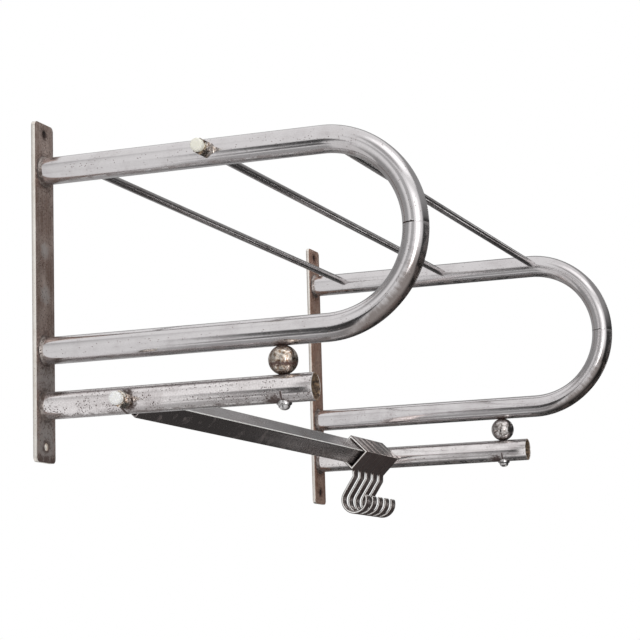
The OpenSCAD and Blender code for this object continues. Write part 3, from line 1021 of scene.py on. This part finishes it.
    def make_strip(self, face: Material, edge: Material, dark: Material) -> None:
        """Makes the wall strip with softened edges that show pale metal.

        Args:
            face: Finish of the broad faces.
            edge: Finish of the narrow sides.
            dark: Finish of the screw holes, rust and painted shade in them, all but the left strip's lower
                one.
        """
        node = self.node("wall_strip")
        bm = softened_copy(node, self.strip_edge)
        reach = self.strip.size / 2
        side_reach = reach.y - self.strip_edge * self.strip_edge_share
        for poly in bm.faces:
            off = poly.calc_center_median() - self.strip.centre
            if abs(poly.normal.y) < self.strip_facing and abs(off.y) < side_reach:
                poly.material_index = 1
                bored = abs(off.x) < reach.x / 2 and abs(off.z) < reach.z - MM
                # Screw holes get rust and painted shade, all but the left strip's lower one.
                if bored and (off.z > 0 or self.side is Side.RIGHT):
                    poly.material_index = 2
        dressed(f"{node}_plate", bm, [face, edge, dark], node)

    def make_ball_screw(self, plated: Material, cut: Material) -> None:
        """Makes the ball screw, with a painted highlight in the slot of its head.

        Args:
            plated: Finish of the screw.
            cut: Finish of the slot, a painted highlight.
        """
        node = self.node("ball_screw")
        screw = Span.of(node)
        bm = softened_copy(node, self.screw_edge, self.screw_angle)
        for face in bm.faces:
            middle = face.calc_center_median()
            away = math.hypot(middle.x - screw.centre.x, middle.y - screw.centre.y)
            turned = abs(face.normal.z) < self.slot_upright or face.normal.z < -self.slot_level
            below = middle.z < self.arm.low.z - self.wall
            # Slot faces get the painted highlight.
            if turned and below and away < screw.size.x * self.slot_share:
                face.material_index = 1
        dressed(f"{node}_body", bm, [plated, cut], node)

    def build(self, looks: Looks) -> None:
        """Makes and dresses the whole side.

        Args:
            looks: The rack's materials by name.
        """
        for half in Half:
            self.make_loop_half(half, looks["loop"], looks["seam_dirt_and_hole_shade"])
            height = self.mid_z + half.sign * self.bend_radius
            self.make_weld(f"loop_{half.value}", height, looks["weld"], looks["weld_fringe"])
        self.make_arm(looks[self.node("arm")], looks["bore"], looks["arm_rim_painted_highlight"])
        self.make_weld("arm", self.arm.centre.z, looks["weld"], looks["weld_fringe"])
        self.make_strip(looks[self.node("strip")], looks["strip_edge"], looks["seam_dirt_and_hole_shade"])
        for node in (self.node("rod_collar"), self.node("bar_collar")):
            dressed(f"{node}_body", softened_copy(node, self.collar_edge, self.collar_angle),
                    [looks["collar"]], node)
        self.make_ball_screw(looks["screw"], looks["painted_highlight_edge"])
        plain = {"rod_cap": "cream_cap", "bar_cap": "white_cap", "ball_spacer": self.node("ball")}
        for part in ("seam_plug", "ball_nut", "bar_plug", "rod_screw", "bar_screw"):
            plain[part] = "hidden"
        for part, look in plain.items():
            dress_node(self.node(part), looks[look])


@dataclass
class HatRods:
    """The three thin rods between the two loops."""

    places: tuple[str, ...] = ("back", "middle", "front")

    def build(self, looks: Looks) -> None:
        """Dresses the rods."""
        for place in self.places:
            dress_node(f"hat_rod_{place}", looks["rod"])


@dataclass
class HookBar:
    """The square bar on edge and the hooks that slide on it."""

    hooks: int = 5
    bar_edge: float = 0.8 * MM
    bar_angle: float = 80.0
    bar_segments: int = 3
    ridge_facing: float = 0.8
    hook_edge: float = 0.9 * MM
    hook_angle: float = 50.0
    hook_smooth: float = 30.0
    cut_facing: float = 0.985
    rounding_facing: float = 0.2
    tip_facing: float = 0.35
    tip_low: float = 15 * MM
    tip_high: float = 25 * MM

    def build(self, looks: Looks) -> None:
        """Makes the bar and every hook.

        Args:
            looks: The rack's materials by name.
        """
        self.make_bar([looks["bar"], looks["bar_ridge_highlight"]])
        for number in range(1, self.hooks + 1):
            self.make_hook(number, [looks["hook"], looks["painted_highlight_edge"], looks["hook_rounding_painted_shade"]])

    def make_bar(self, finishes: list[Material]) -> None:
        """Makes the bar with a painted highlight on its long edges, all but the lowest one.

        Args:
            finishes: Finishes of the flat sides and of the painted highlight on the long edges.
        """
        bm = softened_copy("crossbar", self.bar_edge, self.bar_angle, self.bar_segments, False)
        for poly in bm.faces:
            # Faces of the rounded long edges, all but the lowest, get the painted highlight.
            poly.material_index = int(max(abs(poly.normal.y), poly.normal.z) > self.ridge_facing)
        dressed("crossbar_tube", bm, finishes, "crossbar")

    def make_hook(self, number: int, finishes: list[Material]) -> None:
        """Makes one hook with painted highlights on its sheared edges and tip, between roundings painted
        dark as shade.

        Args:
            number: Number of the hook, from the left.
            finishes: Finishes of the broad faces, of the painted highlight on the sheared edges and tip,
                and of the painted shade on the roundings beside them.
        """
        node = f"hook_{number}"
        bm = softened_copy(node, self.hook_edge, self.hook_angle, clamped=False)
        foot = Span.of(node).low.z
        for poly in bm.faces:
            at_tip = self.tip_low < poly.calc_center_median().z - foot < self.tip_high
            aside = abs(poly.normal.x)
            # Edges facing along X and the top of the tip get the painted highlight; the roundings beside
            # them get painted shade.
            if aside > self.cut_facing or (at_tip and poly.normal.z > self.tip_facing):
                poly.material_index = 1
            elif aside > self.rounding_facing:
                poly.material_index = 2
        dressed(f"{node}_strip", bm, finishes, node, f"{node}_body", self.hook_smooth)


@dataclass(frozen=True)
class Screen:
    """A soft-edged sheet that only polished surfaces mirror, as flags and softboxes do."""

    name: str
    centre: Triple
    facing: Triple
    reach: Pair
    shade: float
    core: float = 0.35
    rim: float = 1.0
    fade_end: float = 0.98


@dataclass(frozen=True)
class Lamp:
    """A large soft lamp that metal doesn't mirror."""

    name: str
    place: Triple
    size: Pair
    brightness: float


@dataclass
class Studio:
    """Floor, lights, screens for the metal to mirror, and the camera."""

    unseen_white: float = 0.60
    floor_z: float = -0.95
    floor_size: float = 9.0
    floor_white: float = 0.92
    mat_size: float = 8.0
    mat_lift: float = 0.01
    mat_edge: Pair = (-0.50, 0.50)
    mat_back: Pair = (0.35, 0.62)
    mat_dark: float = 0.05
    mat_grey: float = 0.50
    camera_at: Triple = (-2.0103, -0.8860, -0.3267)
    azimuth: float = -69.626
    elevation: float = -8.882
    roll: float = -1.626
    focal_px: float = 2081.8
    image_px: float = 640.0
    sensor: float = 36.0
    clip: Pair = (0.05, 50.0)
    ring_at: Pair = (-0.1, -0.2)
    ring_radius: float = 2.3
    ring_height: float = 4.6
    ring_faces: int = 96
    ring_turn: Pair = (-108.0, 158.0)
    ring_fades: Pair = (-90.0, 132.0)
    ring_greys: Pair = (4.0, 34.0)
    ring_dark: float = 0.05
    ring_grey: float = 0.42
    ring_upper: float = 0.36
    ring_climb: Pair = (0.15, 1.3)
    ring_lifts: Pair = (12.0, 40.0)
    ring_lift: float = 0.9
    ring_top: Pair = (2.4, 3.4)
    screens: tuple[Screen, ...] = (
        Screen("front_softbox", (-1.85, -1.85, 0.45), (1, 0.9, -0.2), (1.15, 1.15), 1.8),
        Screen("upper_softbox", (-0.75, -1.25, 1.9), (0.2, 0.5, -1), (0.95, 0.9), 1.75),
        Screen("upper_flag", (-2.1, -0.70, 1.85), (1, 0.3, -1), (0.8, 0.8), 0.5),
        Screen("side_flag", (-1.85, 0.13, -0.62), (1, 0, 0), (0.45, 0.66), 0.05, 0.6),
        Screen("high_side_flag", (-1.80, -0.22, 0.42), (1, 0, 0), (0.46, 0.55), 0.55, 0.5),
        Screen("left_floor_flag", (-1.72, 0.05, -0.93), (0, 0, 1), (0.85, 0.42), 0.09, 0.6),
        Screen("middle_floor_flag", (-0.50, 0.02, -0.925), (0, 0, 1), (0.50, 0.38), 0.42, 0.6),
        Screen("low_front_lamp", (-1.40, -1.30, -0.19), (1, 1, 0.1), (0.30, 0.30), 6.0, 0.55),
        Screen("rod_card", (2.0, -0.645, 0.605), (-1, 0, 0), (0.13, 0.13), 1.8, 0.3, 0.15),
        Screen("rod_tip_card", (2.0, -0.92, -0.30), (-1, 0.3, 0), (0.11, 0.16), 2.6, 0.3, 0.1),
        Screen("low_right_card", (1.95, -0.14, -0.72), (-1, 0, 0), (0.16, 0.09), 1.1, 0.3, 0.06),
    )
    lamps: tuple[Lamp, ...] = (Lamp("front_lamp", (-2.6, -1.4, 1.0), (1.9, 1.7), 1.9),
                               Lamp("top_lamp", (0.3, -0.5, 2.3), (2.0, 1.6), 1.35))
    lit_point: Triple = (0.0, -0.15, 0.0)

    def build(self) -> None:
        """Sets up everything round the rack."""
        self.set_world()
        place = Matrix.Translation((0, 0, self.floor_z))
        self.sheet("floor", (self.floor_size, self.floor_size), place, srgb(236, 235, 233))
        self.add_mat()
        self.add_ring()
        for screen in self.screens:
            self.add_screen(screen)
        for lamp in self.lamps:
            self.add_lamp(lamp)
        self.add_camera()
        bpy.context.scene.view_settings.view_transform = "Standard"

    def set_world(self) -> None:
        """Lights the scene evenly, white where it is seen or mirrored."""
        world = bpy.data.worlds.new("studio")
        bpy.context.scene.world = world
        world.use_nodes = True
        graph = Graph(world.node_tree)
        path = graph.add("ShaderNodeLightPath").outputs
        seen = path["Is Camera Ray"]
        for ray in ("Is Glossy Ray", "Is Transmission Ray"):
            seen = graph.math("MAXIMUM", seen, path[ray])
        strength = graph.math("MULTIPLY_ADD", seen, 1 - self.unseen_white, self.unseen_white)
        graph.feed(world.node_tree.nodes["Background"], {"Strength": strength, "Color": (1, 1, 1, 1)})

    @staticmethod
    def staged(name: str, bm: BMesh, colour: Colour) -> tuple[Object, Graph]:
        """Turns a mesh into a studio surface.

        Args:
            name: Name of the surface.
            bm: Its mesh, which is freed here.
            colour: Its colour.

        Returns:
            The surface and the graph of its material.
        """
        mesh = bpy.data.meshes.new(name)
        bm.to_mesh(mesh)
        bm.free()
        cloth = bpy.data.materials.new(name)
        cloth.use_nodes = True
        graph = Graph(cloth.node_tree)
        graph.feed(cloth.node_tree.nodes["Principled BSDF"],
                   {"Base Color": (*colour, 1), "Roughness": 1.0, "Specular IOR Level": 0.0})
        mesh.materials.append(cloth)
        surface = bpy.data.objects.new(name, mesh)
        bpy.context.scene.collection.objects.link(surface)
        return surface, graph

    def sheet(self, name: str, size: Pair, place: Matrix,
              colour: Colour = (0.0, 0.0, 0.0)) -> tuple[Object, Graph]:
        """Makes a flat studio surface that faces its own +Z.

        Args:
            name: Name of the surface.
            size: Its width and depth.
            place: Where it lies and how it is turned.
            colour: Its colour.

        Returns:
            The surface and the graph of its material.
        """
        bm = bmesh.new()
        bmesh.ops.create_grid(bm, x_segments=1, y_segments=1, size=0.5,
                              matrix=place @ Matrix.Diagonal((*size, 1, 1)))
        return self.staged(name, bm, colour)

    @staticmethod
    def glow(surface: Object, graph: Graph, brightness: Socket) -> None:
        """Gives a surface its own brightness and shows it to mirroring metal alone.

        Args:
            surface: The studio surface.
            graph: Graph of its material.
            brightness: How bright it is, 1 being white.
        """
        shade = graph.add("ShaderNodeCombineColor", dict.fromkeys(("Red", "Green", "Blue"), brightness))
        graph.feed(graph.tree.nodes["Principled BSDF"],
                   {"Emission Color": shade.outputs["Color"], "Emission Strength": 1.0})
        for ray in ("camera", "diffuse", "transmission", "shadow"):
            setattr(surface, f"visible_{ray}", False)

    def add_mat(self) -> None:
        """Lays the floor that metal mirrors: white on the left, dark from the middle to the right."""
        surface, graph = self.sheet("floor_mirrored", (self.mat_size, self.mat_size),
                                    Matrix.Translation((0, 0, self.floor_z + self.mat_lift)))
        spot = graph.spot()
        right = graph.steps(graph.part(spot, "Y"), *self.mat_back, self.mat_dark, self.mat_grey)
        share = graph.steps(graph.part(spot, "X"), *self.mat_edge)
        self.glow(surface, graph, graph.blend(share, self.floor_white, right))

    def add_ring(self) -> None:
        """Stands a curved screen round the rack, dark to the right and front, grey at the wall."""
        bm = bmesh.new()
        first, last = (math.radians(v) for v in self.ring_turn)
        fades, greys, lifts = ([math.radians(v) for v in pair]
                               for pair in (self.ring_fades, self.ring_greys, self.ring_lifts))
        foot = bm.verts.new((self.ring_at[0] + self.ring_radius * math.cos(first),
                             self.ring_at[1] + self.ring_radius * math.sin(first), self.floor_z))
        head = bm.verts.new(foot.co + Vector((0, 0, self.ring_height)))
        bmesh.ops.spin(bm, geom=[foot, head, bm.edges.new((foot, head))], cent=(*self.ring_at, 0),
                       axis=(0, 0, 1), angle=last - first, steps=self.ring_faces)
        surface, graph = self.staged("ring", bm, (0.0, 0.0, 0.0))
        spot = graph.spot()
        height = graph.part(spot, "Z")
        turn = graph.math("ARCTAN2", *(graph.math("SUBTRACT", graph.part(spot, axis), middle)
                                       for axis, middle in zip("YX", reversed(self.ring_at))))
        low = graph.steps(turn, *greys, self.ring_dark, self.ring_grey)
        low = graph.blend(graph.steps(height, *self.ring_climb), low, self.ring_upper)
        ends = graph.math("MAXIMUM", graph.steps(turn, fades[1], last), graph.steps(turn, fades[0], first))
        rise = graph.math("ADD", height, graph.steps(turn, *lifts, 0.0, self.ring_lift))
        open_side = graph.math("MAXIMUM", ends, graph.steps(rise, *self.ring_top))
        self.glow(surface, graph, graph.blend(open_side, low, 1.0))

    def add_screen(self, screen: Screen) -> None:
        """Hangs one soft-edged screen.

        Args:
            screen: The screen to hang.
        """
        turn = Vector(screen.facing).to_track_quat("Z", "Y").to_matrix().to_4x4()
        size = (screen.reach[0] * 2, screen.reach[1] * 2)
        surface, graph = self.sheet(screen.name, size, Matrix.Translation(screen.centre) @ turn)
        away = graph.vector("SUBTRACT", graph.spot(), screen.centre).outputs["Vector"]
        shares = []
        for column, reach in enumerate(screen.reach):
            along = graph.vector("DOT_PRODUCT", away, turn.col[column].to_3d() / reach).outputs["Value"]
            gap = graph.math("ABSOLUTE", along)
            shares.append(graph.steps(gap, screen.core, screen.fade_end, 1.0, 0.0))
        share = graph.math("MULTIPLY", *shares)
        self.glow(surface, graph, graph.math("MULTIPLY_ADD", share, screen.shade - screen.rim, screen.rim))

    def add_lamp(self, lamp: Lamp) -> None:
        """Hangs one lamp and turns it to the rack.

        Args:
            lamp: The lamp to hang.
        """
        light = bpy.data.lights.new(lamp.name, "AREA")
        light.shape = "RECTANGLE"
        light.size, light.size_y = lamp.size
        light.energy = lamp.brightness * math.pi * lamp.size[0] * lamp.size[1]
        hung = bpy.data.objects.new(lamp.name, light)
        hung.location = lamp.place
        aim = Vector(self.lit_point) - Vector(lamp.place)
        hung.rotation_euler = aim.to_track_quat("-Z", "Y").to_euler()
        hung.visible_glossy = False
        bpy.context.scene.collection.objects.link(hung)

    def add_camera(self) -> None:
        """Puts the camera where the photograph was taken from."""
        a, e, r = (math.radians(v) for v in (self.azimuth, self.elevation, self.roll))
        back = Vector((math.sin(a) * math.cos(e), -math.cos(a) * math.cos(e), math.sin(e)))
        right = Vector((math.cos(a), math.sin(a), 0))
        up = back.cross(right)
        rolled = math.cos(r) * right + math.sin(r) * up
        rise = math.cos(r) * up - math.sin(r) * right
        lens = bpy.data.cameras.new("camera")
        lens.sensor_width = self.sensor
        lens.lens = self.focal_px / self.image_px * self.sensor
        lens.clip_start, lens.clip_end = self.clip
        camera = bpy.data.objects.new("camera", lens)
        turn = Matrix((rolled, rise, back)).transposed().to_4x4()
        camera.matrix_world = Matrix.Translation(self.camera_at) @ turn
        bpy.context.scene.collection.objects.link(camera)
        bpy.context.scene.camera = camera


def rack_looks() -> Looks:
    """Makes every finish of the rack.

    Returns:
        The materials by short name.
    """
    finishes: dict[str, Finish] = {
        # The loop chrome has a painted shade on its bends' lower flank. It also has a rust band along the
        # lower flank that is partly a painted dark reflection streak.
        "loop": PlatedSteel("loop chrome", lie=Lie.ROUND_TUBE, flank_rust_and_painted_streak=0.6, wobble=1.6,
                            bloom=(0.70, 0.90), bend_painted_shade=0.9, pitting=0.05, cells=880.0,
                            stains=loop_stains()),
        "weld": PlatedSteel("weld metal", plate=srgb(176, 168, 164), dull=srgb(120, 108, 102),
                            rust=srgb(72, 58, 52), metallic=0.8, roughness=0.3, bloom=(0.42, 0.60),
                            pitting=0.9, cells=520.0, grain=0.6),
        "weld_fringe": RustySteel("weld fringe rust", dark=srgb(58, 50, 48), light=srgb(128, 116, 110),
                                  scale=260.0),
        # Dark groove at the seam; the strips' screw holes use it as rust and painted shade.
        "seam_dirt_and_hole_shade": RustySteel("seam dirt and hole shade", dark=srgb(34, 24, 22), light=srgb(62, 44, 38), roughness=0.8,
                                metallic=0.0),
        "bore": RustySteel("bore rust", dark=srgb(56, 46, 42), light=srgb(172, 146, 118), scale=320.0),
        # The near strip's pale patches are partly worn plate and partly painted reflections.
        "left_strip": PlatedSteel("near strip face", plate=srgb(208, 190, 181), dull=srgb(146, 122, 111),
                                  rust=srgb(78, 62, 56), lie=Lie.UPRIGHT, metallic=0.75, roughness=0.3,
                                  dull_levels=(0.34, 0.60), bloom=(0.58, 0.78), pitting=0.6, cells=520.0,
                                  grain=0.4, stains=strip_stains(), hazes_and_reflections=strip_hazes_and_reflections()),
        "right_strip": PlatedSteel("far strip face", plate=srgb(208, 180, 164), dull=srgb(172, 134, 116),
                                   rust=srgb(92, 64, 52), lie=Lie.UPRIGHT, metallic=0.6, roughness=0.34,
                                   dull_levels=(0.34, 0.60), bloom=(0.52, 0.74), pitting=0.7,
                                   cells=520.0, grain=0.5, stains=strip_stains()),
        "strip_edge": PlatedSteel("strip edge", plate=srgb(242, 238, 232), dull=srgb(206, 194, 182),
                                  rust=srgb(120, 94, 76), lie=Lie.UPRIGHT, roughness=0.3,
                                  bloom=(0.58, 0.80)),
        "rod": PlatedSteel("rod metal", plate=srgb(196, 192, 192), dull=srgb(140, 130, 128),
                           rust=srgb(70, 54, 48), roughness=0.16),
        # The bar's downward faces are painted darker as shade.
        "bar": PlatedSteel("bar metal", plate=srgb(214, 210, 211), dull=srgb(160, 146, 143),
                           rust=srgb(66, 50, 46), roughness=0.2, under_painted_shade=0.6, bloom=(0.55, 0.80)),
        # Painted highlight: near white and barely metal, on the bar's long edges.
        "bar_ridge_highlight": PlatedSteel("bar ridge painted highlight", plate=srgb(255, 254, 252), dull=srgb(236, 230, 226),
                                 rust=srgb(104, 84, 74), metallic=0.1, roughness=0.25, bloom=(0.62, 0.84)),
        # The hooks' downward faces take the rust colour, partly rust and partly painted shade.
        "hook": PlatedSteel("hook face", plate=srgb(244, 236, 233), dull=srgb(190, 172, 166),
                            rust=srgb(60, 45, 43), roughness=0.18, under_rust_and_shade=1.0, bloom=(0.60, 0.84)),
        # Painted shade: dark roundings beside the hooks' highlighted edges.
        "hook_rounding_painted_shade": PlatedSteel("hook rounding painted shade", plate=srgb(98, 86, 82), dull=srgb(72, 60, 57),
                                     rust=srgb(60, 45, 43), metallic=0.6, roughness=0.3),
        # Painted highlight: near white, little metal, on the hooks' edges and tips and in the ball screws'
        # slots.
        "painted_highlight_edge": PlatedSteel("painted highlight edge", plate=srgb(254, 253, 251), dull=srgb(238, 234, 229),
                                rust=srgb(150, 126, 110), metallic=0.4, roughness=0.2, bloom=(0.68, 0.90)),
        # Painted highlight: near white, little metal, on the arms' open rims.
        "arm_rim_painted_highlight": PlatedSteel("arm rim painted highlight", plate=srgb(254, 252, 250), dull=srgb(226, 216, 204),
                               rust=srgb(128, 100, 76), metallic=0.3, roughness=0.2, bloom=(0.60, 0.80),
                               rust_scale=200.0, stains=rim_stains_and_shade()),
        "collar": PlatedSteel("collar chrome", plate=srgb(236, 230, 222), dull=srgb(150, 122, 94),
                              rust=srgb(48, 34, 29), roughness=0.07, dull_levels=(0.44, 0.56),
                              bloom=(0.50, 0.60), pitting=0.5, cells=520.0, dull_scale=240.0,
                              rust_scale=300.0),
        "screw": PlatedSteel("screw chrome", plate=srgb(205, 203, 203), dull=srgb(120, 112, 110),
                             roughness=0.1, bloom=(0.50, 0.72)),
        "cream_cap": CapPlastic("cream cap"),
        "white_cap": CapPlastic("white cap", colour=srgb(253, 253, 252), scuff=srgb(240, 239, 235)),
        "hidden": RustySteel("hidden steel", dark=srgb(96, 92, 90), light=srgb(126, 120, 116),
                             roughness=0.4),
    }
    for side in Side:
        near, (ball,) = side is Side.LEFT, side_spans(side, "ball_spacer")
        # The arms have a rust band along their lower flank that is partly a painted dark reflection streak.
        finishes[f"{side.value}_arm"] = PlatedSteel(
            f"{side.value} arm chrome", plate=srgb(232, 228, 228), dull=srgb(196, 189, 189),
            rust=srgb(66, 48, 43), lie=Lie.ROUND_TUBE, roughness=0.13, cells=600.0,
            pitting=0.44 if near else 0.15, low_pits=0.50 if near else 0.1, grain=0.5 if near else 0.3,
            bloom=(0.66, 0.88), top_rust=0.8, flank_rust_and_painted_streak=0.7, wobble=1.2, stains=arm_stains(side),
            cracks=arm_cracks(side))
        seats = (ball.low.z, ball.high.z)
        finishes[f"{side.value}_ball"] = (
            TarnishedBrass("tarnished ball", *seats) if near else
            TarnishedBrass("chromed ball", *seats, metal=srgb(204, 200, 199), tarnish_and_painted_shade=srgb(140, 130, 124),
                           crazing=0.2, bands=((0.0, 0.05), (1.0, 0.07))))
    return {name: finish.build() for name, finish in finishes.items()}


def strip_stains() -> tuple[Stain, ...]:
    """Rust on the strips round the tube ends and the screw holes, and along the near strip's foot.

    Returns:
        The stains.
    """
    found = []
    for side in Side:
        strip, upper, lower, arm = side_spans(side, "wall_strip", "loop_upper", "loop_lower", "lower_arm")
        reach = arm.size.z / 2
        places = [(0.0, upper.high.z - reach, 31), (0.0, lower.low.z + reach, 31), (0.0, arm.centre.z, 31),
                  (0.0, strip.high.z - 10 * MM, 13), (0.0, strip.low.z + 14 * MM, 13)]
        if side is Side.LEFT:
            places += [(aside * MM, strip.low.z, 13) for aside in (-12, 0, 12)]
        found += [Stain((strip.centre.x + aside, strip.low.y, z), radius * MM)
                  for aside, z, radius in places]
    return tuple(found)


def strip_hazes_and_reflections() -> tuple[Stain, ...]:
    """Pale patches on the near strip: worn plate, most at its foot, and two painted reflections higher up.

    Returns:
        The patches.
    """
    strip = Span.of("left_wall_strip")
    # The three lowest are worn patches; the two highest are painted reflections.
    places = ((0.03, 30), (0.10, 28), (0.24, 34), (0.49, 15), (0.62, 13))
    return tuple(Stain((strip.centre.x, strip.low.y, strip.low.z + share * strip.size.z), radius * MM)
                 for share, radius in places)


def arm_stains(side: Side) -> tuple[Stain, ...]:
    """Rust on an arm round its ball, its ball screw and its tie screw.

    Args:
        side: Side of the arm.

    Returns:
        The stains.
    """
    arm, ball, collar = side_spans(side, "lower_arm", "ball_spacer", "bar_collar")
    x, y, z = arm.centre.x, ball.centre.y, arm.centre.z
    outer = x + side.sign * arm.size.x / 2
    return (Stain((x, y, arm.high.z), 15 * MM), Stain((x, y, arm.low.z), 15 * MM),
            Stain((x - arm.size.x / 4, y + 7 * MM, arm.low.z), 15 * MM),
            Stain((outer, collar.centre.y - 2 * MM, z - 5 * MM), 13 * MM),
            Stain((outer, collar.centre.y, z + 4 * MM), 12 * MM))


def rim_stains_and_shade() -> tuple[Stain, ...]:
    """Gold-brown rust round the arms' open rims, all but their left side; it also dims the rims' painted
    highlight as painted shade, so that it shows on that side alone.

    Returns:
        The stains.
    """
    arms = [Span.of(f"{side.value}_lower_arm") for side in Side]
    places = ((12.5, -8, 18), (12.5, 8, 18), (0, -13, 15), (0, 13, 15))
    return tuple(Stain((arm.centre.x + aside * MM, arm.low.y, arm.centre.z + rise * MM), radius * MM)
                 for arm in arms for aside, rise, radius in places)


def arm_cracks(side: Side) -> tuple[Crack, ...]:
    """Cracks in an arm's plate under its tie screw and over its ball screw.

    Args:
        side: Side of the arm.

    Returns:
        The cracks.
    """
    arm, ball, collar = side_spans(side, "lower_arm", "ball_spacer", "bar_collar")
    y, z, screw_y = collar.centre.y, arm.centre.z, ball.centre.y
    return (Crack((y + 6.2 * MM, z - 5 * MM), (y + 2.5 * MM, arm.low.z)),
            Crack((screw_y - 1 * MM, z - 4 * MM), (screw_y - 0.5 * MM, arm.low.z), 1.2 * MM))


def loop_stains() -> tuple[Stain, ...]:
    """Rust on the loops round the balls' upper seats."""
    spans = [side_spans(side, "loop_lower", "ball_spacer") for side in Side]
    return tuple(Stain((lower.centre.x, ball.centre.y, lower.low.z), 15 * MM) for lower, ball in spans)


def main() -> None:
    """Builds the rack's looks and the studio, in order."""
    logging.basicConfig(level=logging.INFO, format="%(name)s: %(message)s")
    looks = rack_looks()
    for side in Side:
        SideFrame(side).build(looks)
    HatRods().build(looks)
    HookBar().build(looks)
    Studio().build()


if __name__ == "__main__":
    main()
